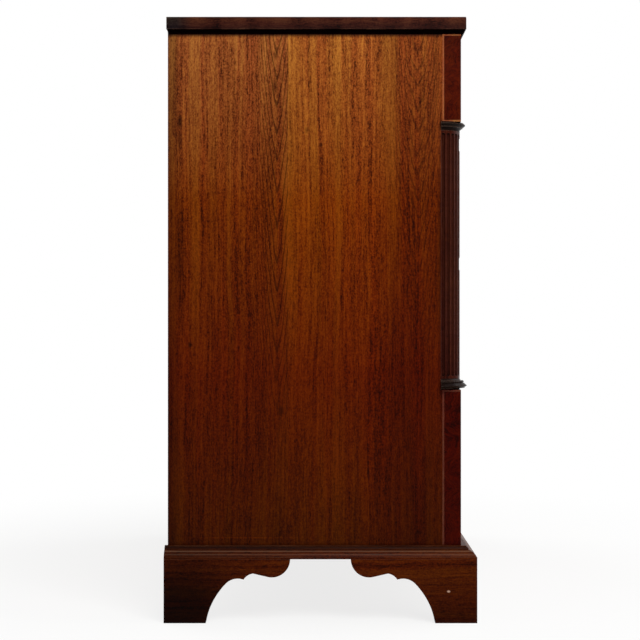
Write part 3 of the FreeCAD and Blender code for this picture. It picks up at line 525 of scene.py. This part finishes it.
class CHEST_OT_end_boards(bpy.types.Operator):
    """Dresses the two end boards"""

    bl_idname = "chest.end_boards"
    bl_label = "End boards"

    def execute(self, context):
        woods = context.scene.chest_woods
        colours = (woods.end_foot, woods.end_low, woods.end_high, woods.end_top)
        seam = 59.4 * MM
        half_seam = 0.8 * MM
        # Across upright grain is X + Y, so a place on the end face is its own X and that place's Y
        narrow_figure = {
            "centre": END_FACE + 79.5 * MM,
            "half": 50 * MM,
            "steepness": 31,
            "ragged": 120 * MM,
            "spacing": 55 * MM,
            "depth": 0.62,
            "fades": (0.2, 0.6),
            "edge": (END_FACE + seam - half_seam, END_FACE + seam + half_seam),
        }
        front_figure = {
            "centre": END_FACE - 178 * MM,
            "half": 60 * MM,
            "steepness": 17,
            "ragged": 160 * MM,
            "spacing": 40 * MM,
            "depth": 0.45,
            "fades": (0.3, 0.75),
        }
        # Plain-sawn mahogany, planed and French polished: straight brown grain full of short pores,
        # two narrow cathedral figures, paler towards the top, partly faded and partly as painted light
        left = wood(
            "french_polished_mahogany_end_left",
            UPRIGHT,
            colours,
            seed=11,
            figures=(narrow_figure, front_figure),
            # The joint between two boards, the redder stretch next to the corner post, the dark back edge,
            # and the painted shadow close under the neck moulding
            stretches=(
                (Y, seam + half_seam, seam - half_seam, (1.14, 1.14, 0.85)),
                (Y, POST_JOINT + 133.5 * MM, POST_JOINT + 78.5 * MM, (0.72, 0.6, 0.6)),
                (Y, BACK_EDGE - 27.5 * MM, BACK_EDGE - 3.5 * MM, (0.55, 0.52, 0.6)),
                # Painted shadow under the neck moulding
                (Z, NECK_LOW - 7 * MM, NECK_LOW - 1 * MM, (0.12, 0.12, 0.2)),
            ),
            # Knots and bruises first, then a pale scratch by the base, a dark streak along the back
            # edge, and the painted shade beside the column
            marks=(
                end_mark(239, 504.5, 5, 7, 0.35),
                end_mark(257.3, 913.5, 6, 16, 0.25),
                end_mark(257.3, 878, 6, 20, 0.6),
                end_mark(72.3, 383.5, 8, 13, 0.5),
                end_mark(-1.2, 870.5, 4, 6, 0.4),
                end_mark(24.5, 898, 6, 8, 0.6),
                end_mark(82.3, 1035, 7, 10, 0.55),
                end_mark(83.5, 978, 6, 18, 0.5),
                end_mark(131, 151, 130, 1.2, 1.7),
                end_mark(257, 660, 10, 140, 0.7),
                # Painted shade beside the column
                end_mark(-225.5, 668, 15, 320, 0.3),
            ),
            vary=0,
            wear=0.2,
        )
        # The same from other boards: two glued joints, and rings in place of the figures
        right = wood(
            "french_polished_mahogany_end_right",
            UPRIGHT,
            colours,
            seed=29,
            rings=(11 * MM, 30 * MM, 0.07, 0.4),
            stretches=(
                (Y, 100.2 * MM, 98.6 * MM, (0.85, 0.8, 0.8)),
                (Y, -88 * MM, -90 * MM, (1.16, 1.14, 1)),
            ),
            wear=0.2,
        )
        paint("side_left", left)
        paint("side_right", right)
        return {"FINISHED"}


class CHEST_OT_top(bpy.types.Operator):
    """Dresses the top board and the moulding under it"""

    bl_idname = "chest.top"
    bl_label = "Top board"

    def execute(self, context):
        woods = context.scene.chest_woods
        back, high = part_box("top_board")[1].yz
        # Mahogany stained dark, its upper face rubbed by hands and cloths
        face = wood(
            "stained_mahogany_top",
            LENGTHWAYS,
            (woods.top,),
            seed=41,
            rings=(12 * MM, 50 * MM, 0.06, 0.35),
            gain=(0.5, 1.7),
            ribbon=30 * MM,
            rough=0.45,
            specular=0.02,
        )
        # The same board's edge: dark, with the red wood showing through in worn patches
        edge = wood(
            "worn_stained_mahogany_top_edge",
            ROUND_THE_BASE,
            (woods.edge,),
            seed=43,
            gain=(0.12, 2.3),
            reach=90 * MM,
            cloudy=0.7,
            # Darker downwards, and greyer at the back corner
            stretches=(
                (Z, high - 4 * MM, CARCASS_TOP + 1.5 * MM, (0.42, 0.42, 0.62)),
                (Y, back - 46.5 * MM, back - 19.5 * MM, (0.42, 1, 1.7)),
            ),
            rough=0.42,
            wear=0.8,
            grime=0.6,
        )
        # Mahogany moulding, painted near black as the shade under the top's overhang
        neck = wood(
            "painted_shade_mahogany_neck_moulding",
            ROUND_THE_BASE,
            (woods.neck,),
            seed=47,
            wear=0,
            specular=0,
        )
        paint("top_board", face, edge, pick=lambda face: 0 if face.normal.z > 0.9 else 1)
        paint("top_moulding", neck)
        return {"FINISHED"}


class CHEST_OT_corners(bpy.types.Operator):
    """Dresses the corner posts, their inlaid lines and the quarter columns"""

    bl_idname = "chest.corners"
    bl_label = "Corner posts and columns"

    def execute(self, context):
        woods = context.scene.chest_woods
        # Mahogany veneer, sawn and polished: deep red, with a curl across it
        post = wood(
            "polished_mahogany_veneer_post",
            UPRIGHT,
            (woods.post_foot, woods.post_top),
            seed=51,
            sway=60 * MM,
            reach=50 * MM,
            cloudy=0.5,
            gain=(0.3, 1.75),
            rough=0.3,
            wear=0.45,
            grime=0.5,
        )
        # Mahogany turned, fluted and stained nearly black; rubbed to brown on its arrises, which also
        # paints their highlights, and its flutes darkened by dirt and painted shade
        column = wood(
            "stained_turned_mahogany_column",
            UPRIGHT,
            (woods.column,),
            seed=57,
            gain=(0.35, 1.8),
            rough=0.32,
            wear=0.8,
            worn=linear("6A443A"),
            grime=0.95,
            hollows=(7 * MM, 0.5, 0.95),
        )
        # The same wood turned, stained black, its sharp arrises rubbed grey-brown, which also paints
        # their highlight lines, and its hollows darkened by dirt and painted shade
        turning = wood(
            "blackened_turned_mahogany_capital",
            ROUND_THE_BASE,
            (woods.turning,),
            seed=59,
            gain=(0.4, 1.8),
            rough=0.26,
            wear=0.9,
            worn=linear("84685A"),
            grime=0.9,
        )
        # Satinwood stringing, let in flush and browned by polish
        line = wood(
            "satinwood_stringing",
            UPRIGHT,
            (woods.line,),
            seed=61,
            gain=(0.7, 1.35),
            # Darker and browner on the lower blocks
            stretches=((Z, BLOCK_TOP + 78 * MM, BLOCK_TOP + 8 * MM, (0.4, 0.32, 0.6)),),
            wear=0,
        )
        for side in ("left", "right"):
            paint(f"corner_post_{side}", post)
            paint(f"quarter_column_{side}", column)
        paint("column_capitals", turning)
        paint("column_bases", turning)
        paint("line_inlay", line)
        return {"FINISHED"}


class CHEST_OT_base(bpy.types.Operator):
    """Dresses the base moulding and the bracket feet"""

    bl_idname = "chest.base"
    bl_label = "Base moulding and feet"

    def execute(self, context):
        woods = context.scene.chest_woods
        darker_back = (Y, -100 * MM, 280 * MM, (0.6, 0.6, 0.6))
        # Lines along the steps of the moulding, in millimetres below its top: pale painted highlights, and
        # the painted shadow where it meets the end board. Each is an ellipse much longer than the chest.
        rubbed = [
            ((0, 0, PLINTH_HIGH - down * MM), (2, 2, 1.4 * MM), amount)
            for down, amount in ((9, 0.3), (14, 0.14))
        ]
        dirt_and_shade = ((0, 0, PLINTH_HIGH - 3 * MM), (2, 2, 4.5 * MM), 0.3)
        # Mahogany moulded with planes: level grain, pale lines painted as highlights along its steps
        moulding = wood(
            "moulded_mahogany_base",
            ROUND_THE_BASE,
            (woods.base_high,),
            seed=71,
            stretches=(darker_back,),
            gain=(0.15, 1.6),
            # The pale lines are painted highlights, the dark mark a painted shadow
            chips=rubbed,
            marks=(dirt_and_shade,),
            wear=0.35,
            worn=linear("7A5E4A"),
            grime=0.85,
        )
        # A chip on the front foot, and the dark of the back foot
        chip = ((FEET_FACE, -232.5 * MM, 57.5 * MM), (1, 3.6 * MM, 2.4 * MM), 0.95)
        dark_foot = ((FEET_FACE, 260 * MM, 30 * MM), (300 * MM, 140 * MM, 110 * MM), 0.3)
        # Mahogany sawn to shape: level grain, darker towards the floor
        feet = wood(
            "sawn_mahogany_feet",
            ROUND_THE_BASE,
            (woods.base_foot, woods.base_high),
            seed=73,
            heights=(0, PLINTH_LOW),
            stretches=(darker_back,),
            rough=0.42,
            wear=0.15,
            worn=linear("B08C78"),
            chips=(chip,),
            marks=(dark_foot,),
            grime=0.4,
        )
        paint("base_moulding", moulding)
        for end in ("front", "back"):
            for side in ("left", "right"):
                paint(f"{end}_foot_{side}", feet)
        return {"FINISHED"}


# The back: how many boards, one above the other, and the open joint between two, as in the CAD model
BACK_BOARDS = 5
BACK_JOINT = 0.6 * MM
# A face of a drawer front belongs to a bead where it lies further out than the polished face by
# this much, or closer to the outline than this, and it is bare wood where it lies deeper in
BEAD_OUT = 0.5 * MM
BEAD_WIDTH = 3.1 * MM
POLISH_DEPTH = 6 * MM


def front_part(face, low, high):
    """0 for the polished face of a drawer front, 1 for its beads, 2 for the bare wood behind."""
    x, y, z = face.center
    if y > FRONT + POLISH_DEPTH:
        return 2
    beside = min(x - low.x, high.x - x, z - low.z, high.z - z)
    return 1 if beside < BEAD_WIDTH or y < FRONT - BEAD_OUT else 0


class CHEST_OT_inside(bpy.types.Operator):
    """Dresses the drawers and what is behind the show wood"""

    bl_idname = "chest.inside"
    bl_label = "Drawers and inside"

    def execute(self, context):
        woods = context.scene.chest_woods
        low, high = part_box("back_boards")
        pitch = (high.z - low.z + BACK_JOINT) / BACK_BOARDS
        pine = {}
        for label, directions, seed, row in (
            ("x", LENGTHWAYS, 81, None),
            ("y", BACKWARDS, 83, None),
            ("z", UPRIGHT, 87, None),
            ("back", LENGTHWAYS, 89, (Z, low.z - BACK_JOINT / 2, pitch)),
        ):
            # Pine, sawn and planed and never finished: yellow grown brown, with soft wide grain
            pine[label] = wood(
                f"bare_planed_pine_{label}",
                directions,
                (woods.inside,),
                seed,
                row=row,
                ribbon=30 * MM,
                flecks=0.1,
                grit=0.15,
                gain=(0.45, 1.5),
                rings=(7 * MM, 35 * MM, 0.05, 0.38),
                casts=PINE_CASTS,
                vary=0.16,
                rough=0.62,
                specular=0.05,
                wear=0.15,
                worn=linear("C8A878"),
                grime=0.55,
            )
        # Mahogany drawer fronts and rails, polished: level grain with a broad figure, redder than
        # the ends
        front = wood(
            "polished_mahogany_front",
            LENGTHWAYS,
            (woods.front,),
            seed=91,
            rings=(11 * MM, 40 * MM, 0.1, 0.35),
            sway=30 * MM,
            rough=0.3,
            specular=0.05,
        )
        # Mahogany strips stained darker than the fronts they edge
        bead = wood(
            "polished_mahogany_cock_bead",
            LENGTHWAYS,
            (woods.bead,),
            seed=93,
            gain=(0.6, 1.5),
            rough=0.32,
            wear=0.7,
        )
        # The backs of the mahogany fronts and their dovetail pins, sawn and planed but never polished
        core = wood(
            "bare_planed_mahogany_front_back",
            LENGTHWAYS,
            (woods.bare_front,),
            seed=97,
            rings=(11 * MM, 40 * MM, 0.1, 0.3),
            rough=0.6,
            wear=0.15,
            grime=0.5,
        )

        for node in ("bottom_rail", "drawer_rails", "top_rail", "drawer_divider"):
            paint(node, front, pine["x"], pick=lambda face: 0 if face.center.y < FRONT + MM else 1)
        for node in ("bottom_board", "drawer_stops"):
            paint(node, pine["x"])
        paint("back_boards", pine["back"])
        for node in ("drawer_runners", "drawer_guides"):
            paint(node, pine["y"])
        paint("glue_blocks", pine["z"])
        for drawer in DRAWERS:
            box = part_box(f"{drawer}_drawer_front")
            paint(f"{drawer}_drawer_front", front, bead, core, pick=lambda face: front_part(face, *box))
            paint(f"{drawer}_drawer_sides", pine["y"])
            paint(f"{drawer}_drawer_back", pine["x"])
            paint(f"{drawer}_drawer_bottom", pine["x"])
        return {"FINISHED"}


def brass():
    """Cast brass, filed and lacquered long ago: warm yellow, brown in the hollows."""
    look = bpy.context.scene.chest_brass
    material = bpy.data.materials.new("cast_brass_handles")
    material.use_nodes = True
    tree = material.node_tree
    tree.nodes.clear()
    spot = add(tree, "TexCoord", out=3)
    blotches = add(tree, "TexNoise", {"Vector": spot, "Scale": 1 / look.blotch, "Detail": 4})
    open_sky = add(tree, "AmbientOcclusion", {"Distance": 6 * MM}, out=1, samples=6)
    hollow = add(tree, "MapRange", {0: open_sky, 1: 0.3, 2: 0.9, 3: 0.9, 4: 0})
    stain = add(tree, "MapRange", {0: blotches, 1: 0.45, 2: 0.75, 4: 0.5})
    dull = add(tree, "Math", {0: hollow, 1: stain}, operation="MAXIMUM")
    shade = add(tree, "MixRGB", {0: dull, 1: opaque(look.brass), 2: opaque(look.tarnish)})
    rough = add(tree, "MapRange", {0: dull, 3: 0.28, 4: 0.55})
    scratches = add(tree, "TexNoise", {"Vector": spot, "Scale": 1 / look.scratch, "Detail": 2})
    bump = add(tree, "Bump", {"Strength": 0.08, "Distance": 0.3 * MM, "Height": scratches})
    surface = {"Base Color": shade, "Metallic": 1, "Roughness": rough, "Normal": bump}
    add(tree, "OutputMaterial", {0: add(tree, "BsdfPrincipled", surface)})
    return material


# A turned edge sharper than this stays sharp
CREASE = math.radians(38)

# Half the section of a handle post, in millimetres: its radius at each distance out from the drawer
# front. The bolt inside the drawer comes first, then the stepped rosette and the waisted stem.
POST_SECTION = (
    (0, -26),
    (2.1, -26),
    (2.4, -25.5),
    (2.4, 0),
    (11.2, 0),
    (12, 0.5),
    (12, 1.3),
    (11.2, 1.9),
    (9.4, 1.9),
    (8.9, 2.6),
    (7.6, 3.0),
    (5.6, 3.3),
    (4.2, 4.2),
    (3.3, 6.2),
    (3.2, 8.0),
    (3.6, 9.4),
    (4.6, 10.0),
)
# The ball at the end of the stem, about the bail's pivot
BALL_RADIUS = 5.5 * MM
BALL_START = -42
# Middle of a handle to each of its posts, as in the CAD model
POST_SPREAD = 42 * MM
# The nut inside the drawer, its middle behind the drawer front's face, and its bevel
NUT_SIZE = (12 * MM, 4 * MM, 12 * MM)
NUT_BACK = 22 * MM
NUT_BEVEL = 0.8 * MM


def turned_mesh(name, profile, steps=32):
    """A turned solid from (radius, height) corners, about Z."""
    shape = bmesh.new()
    rings = []
    for radius, height in profile:
        if radius < MM / 100:
            rings.append([shape.verts.new((0, 0, height))])
            continue
        ring = []
        for step in range(steps):
            turn = 2 * math.pi * step / steps
            ring.append(shape.verts.new((radius * math.cos(turn), radius * math.sin(turn), height)))
        rings.append(ring)
    for lower, upper in zip(rings, rings[1:]):
        for step in range(steps):
            after = (step + 1) % steps
            if len(lower) == 1:
                shape.faces.new((lower[0], upper[after], upper[step]))
            elif len(upper) == 1:
                shape.faces.new((lower[step], lower[after], upper[0]))
            else:
                shape.faces.new((lower[step], lower[after], upper[after], upper[step]))
    bmesh.ops.recalc_face_normals(shape, faces=shape.faces)
    for face in shape.faces:
        face.smooth = True
    for edge in shape.edges:
        if len(edge.link_faces) == 2 and edge.calc_face_angle() > CREASE:
            edge.smooth = False
    mesh = bpy.data.meshes.new(name)
    shape.to_mesh(mesh)
    shape.free()
    return mesh


def arc(centre, radius, start, end, steps):
    """Points on an arc, from a start angle to an end angle in degrees."""
    turns = [math.radians(start + (end - start) * step / steps) for step in range(steps + 1)]
    return [(centre[0] + radius * math.cos(turn), centre[1] + radius * math.sin(turn)) for turn in turns]


class CHEST_OT_handles(bpy.types.Operator):
    """Turns the handle posts and bends the bails in the places of the plain ones"""

    bl_idname = "chest.handles"
    bl_label = "Handles"

    def execute(self, context):
        metal = brass()
        for bail, joint in BAILS.items():
            self.bend(context, bail, Vector(joint["pos_m"]), metal)
        for drawer in DRAWERS:
            self.turn(context, drawer, metal)
        return {"FINISHED"}

    def bend(self, context, bail, pivot, metal):
        """One bail: a wire with soft bends that follows the CAD one's runs."""
        low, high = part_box(bail)
        wire = context.scene.chest_brass.wire
        arm = high.x - pivot.x - wire
        drop = pivot.z - low.z - wire
        # The wire's end in its post, the tight bend beside it, the straight side and the shoulder
        lead = 12 * MM
        bend = 4 * MM
        side = drop - 22 * MM
        shoulder = 16 * MM
        points = [(arm - lead, 0), (arm - bend, 0), (arm, 0), (arm, -bend), (arm, -side)]
        points += arc((arm - shoulder, -side), shoulder, -20, -75, 3)
        # The grip sags a little between the shoulders
        points += [(arm * 0.28, -(drop - 1.2 * MM)), (0, -drop)]
        path = [(-x, z) for x, z in points] + list(reversed(points[:-1]))
        curve = bpy.data.curves.new(f"{bail}_smooth", "CURVE")
        curve.dimensions = "3D"
        curve.bevel_depth = wire
        curve.bevel_resolution = 5
        curve.use_fill_caps = True
        spline = curve.splines.new("NURBS")
        spline.points.add(len(path) - 1)
        for point, (x, z) in zip(spline.points, path):
            point.co = (pivot.x + x, pivot.y, pivot.z + z, 1)
        spline.order_u = 3
        spline.use_endpoint_u = True
        spline.resolution_u = 6
        curve.materials.append(metal)
        piece = bpy.data.objects.new(f"{bail}_smooth", curve)
        context.scene.collection.objects.link(piece)
        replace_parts(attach(piece, bail), bail)

    def turn(self, context, drawer, metal):
        """The posts of one drawer, as one piece: bolt with its nut inside, rosette, stem and ball."""
        node = f"{drawer}_drawer_handle_posts"
        pivots = [joint["pos_m"] for joint in BAILS.values() if joint["parent"] == f"{drawer}_drawer"]
        reach = FRONT - pivots[0][1]
        profile = [(radius * MM, out * MM) for radius, out in POST_SECTION]
        profile += arc((0, reach), BALL_RADIUS, BALL_START, 90, 9)
        post = turned_mesh(f"{node}_turned", profile)
        outwards = Matrix.Rotation(math.radians(90), 4, "X")
        shape = bmesh.new()
        for x, _, z in pivots:
            for middle in (x - POST_SPREAD, x + POST_SPREAD):
                copy = post.copy()
                copy.transform(Matrix.Translation((middle, FRONT, z)) @ outwards)
                shape.from_mesh(copy)
                bpy.data.meshes.remove(copy)
                nut = bmesh.ops.create_cube(shape, size=1)["verts"]
                bmesh.ops.scale(shape, verts=nut, vec=NUT_SIZE)
                bmesh.ops.translate(shape, verts=nut, vec=(middle, FRONT + NUT_BACK, z))
                edges = {edge for vert in nut for edge in vert.link_edges}
                bmesh.ops.bevel(shape, geom=list(edges), offset=NUT_BEVEL, segments=1, affect="EDGES")
        joined = bpy.data.meshes.new(f"{node}_turned")
        shape.to_mesh(joined)
        shape.free()
        bpy.data.meshes.remove(post)
        joined.materials.append(metal)
        piece = bpy.data.objects.new(f"{node}_turned", joined)
        context.scene.collection.objects.link(piece)
        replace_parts(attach(piece, f"{drawer}_drawer"), node)


# Where the lamps hang, what they are turned to, and how long the sides of their squares are
KEY_PLACE = (-2.7, -0.9, 2.9)
KEY_AIM = (END_FACE, 0, 0.6)
KEY_SIZE = 2
FILL_PLACES = {"front": (0.5, -3.2, 2.4), "back": (2.1, 2.6, 2.4)}
FILL_AIM = (0, 0, 0.55)
FILL_SIZE = 3.4
# Half the side of the floor, and where, away from the middle of the chest, its paint begins and
# ends to give way to pure white
FLOOR_REACH = 14
PAINT_ENDS = (0.5, 1.7)


def seen_directly(tree):
    """1 for rays from the camera, in reflections and through glass, 0 for the light on the object."""
    path = add(tree, "LightPath").node.outputs
    seen = path["Is Camera Ray"]
    for ray in ("Is Glossy Ray", "Is Transmission Ray"):
        seen = add(tree, "Math", {0: seen, 1: path[ray]}, operation="MAXIMUM")
    return seen


class CHEST_OT_studio(bpy.types.Operator):
    """Sets the floor, the light and the camera"""

    bl_idname = "chest.studio"
    bl_label = "Studio"

    def execute(self, context):
        studio = context.scene.chest_studio
        scene = context.scene
        scene.view_settings.view_transform = "Standard"
        self.floor(scene, studio.floor)
        self.world(scene, studio.room)
        # A soft light before the end board and above the camera, and two broad ones for the front
        # and the back
        self.light(scene, "key", KEY_PLACE, KEY_AIM, KEY_SIZE, studio.key)
        for name, place in FILL_PLACES.items():
            self.light(scene, name, place, FILL_AIM, FILL_SIZE, studio.fill)
        camera = bpy.data.cameras.new("camera")
        camera.lens = studio.lens
        camera.sensor_width = 36
        camera.clip_end = 60
        viewer = bpy.data.objects.new("camera", camera)
        viewer.location = (END_FACE - studio.distance, studio.aside, studio.height)
        viewer.rotation_euler = (math.radians(90), 0, math.radians(-90))
        scene.collection.objects.link(viewer)
        scene.camera = viewer
        return {"FINISHED"}

    def light(self, scene, name, place, aim, size, watts):
        """A square lamp with soft edges to its shadows, turned towards what it is aimed at."""
        data = bpy.data.lights.new(name, "AREA")
        data.shape = "SQUARE"
        data.size = size
        data.energy = watts
        lamp = bpy.data.objects.new(name, data)
        lamp.location = place
        lamp.rotation_euler = (Vector(aim) - Vector(place)).to_track_quat("-Z", "Y").to_euler()
        scene.collection.objects.link(lamp)

    def world(self, scene, strength):
        """An even grey room to the light, white to the camera and in reflections."""
        world = bpy.data.worlds.new("white_room")
        world.use_nodes = True
        scene.world = world
        tree = world.node_tree
        tree.nodes.clear()
        seen = seen_directly(tree)
        white = add(tree, "Background", {0: WHITE, 1: 1})
        room = add(tree, "Background", {0: WHITE, 1: strength})
        add(tree, "OutputWorld", {0: add(tree, "MixShader", {0: seen, 1: room, 2: white})})

    def floor(self, scene, shade):
        """A pale painted floor that turns white to the camera away from the chest and its shadow."""
        material = bpy.data.materials.new("matt_painted_floor")
        material.use_nodes = True
        tree = material.node_tree
        tree.nodes.clear()
        matt = add(tree, "BsdfDiffuse", {0: opaque(shade)})
        white = add(tree, "Emission", {0: WHITE, 1: 1})
        spot = add(tree, "TexCoord", out=3)
        away = add(tree, "VectorMath", {0: spot}, out=1, operation="LENGTH")
        begins, ends = PAINT_ENDS
        fade = {0: away, 1: begins, 2: ends, 3: 0.8, 4: 1}
        clear = add(tree, "MapRange", fade, interpolation_type="SMOOTHSTEP")
        weight = add(tree, "Math", {0: seen_directly(tree), 1: clear}, operation="MULTIPLY")
        above = add(tree, "MixShader", {0: weight, 1: matt, 2: white})
        # From below the floor lets the view through to the underside of the chest
        below = add(tree, "BsdfTransparent")
        behind = add(tree, "NewGeometry", out=6)
        add(tree, "OutputMaterial", {0: add(tree, "MixShader", {0: behind, 1: above, 2: below})})
        corners = [(x * FLOOR_REACH, y * FLOOR_REACH, 0) for x, y in ((-1, -1), (1, -1), (1, 1), (-1, 1))]
        mesh = bpy.data.meshes.new("floor")
        mesh.from_pydata(corners, [], [(0, 1, 2, 3)])
        mesh.materials.append(material)
        floor = bpy.data.objects.new("floor", mesh)
        scene.collection.objects.link(floor)


class CHEST_PT_panel(bpy.types.Panel):
    """Lists the chest's operators and their settings"""

    bl_idname = "CHEST_PT_panel"
    bl_label = "Chest of drawers"
    bl_space_type = "VIEW_3D"
    bl_region_type = "UI"
    bl_category = "Chest"

    def draw(self, context):
        for operator in OPERATORS:
            self.layout.operator(operator.bl_idname)
        for group in GROUPS:
            box = self.layout.box()
            for name in GROUPS[group].__annotations__:
                box.prop(getattr(context.scene, group), name)


OPERATORS = (
    CHEST_OT_end_boards,
    CHEST_OT_top,
    CHEST_OT_corners,
    CHEST_OT_base,
    CHEST_OT_inside,
    CHEST_OT_handles,
    CHEST_OT_studio,
)
GROUPS = {"chest_woods": ChestWoods, "chest_brass": ChestBrass, "chest_studio": ChestStudio}


def register():
    for group, kind in GROUPS.items():
        bpy.utils.register_class(kind)
        setattr(bpy.types.Scene, group, PointerProperty(type=kind))
    for kind in (*OPERATORS, CHEST_PT_panel):
        bpy.utils.register_class(kind)


def unregister():
    for kind in (CHEST_PT_panel, *reversed(OPERATORS)):
        bpy.utils.unregister_class(kind)
    for group, kind in GROUPS.items():
        delattr(bpy.types.Scene, group)
        bpy.utils.unregister_class(kind)


def main():
    register()
    bpy.ops.chest.end_boards()
    bpy.ops.chest.top()
    bpy.ops.chest.corners()
    bpy.ops.chest.base()
    bpy.ops.chest.inside()
    bpy.ops.chest.handles()
    bpy.ops.chest.studio()


if __name__ == "__main__":
    main()
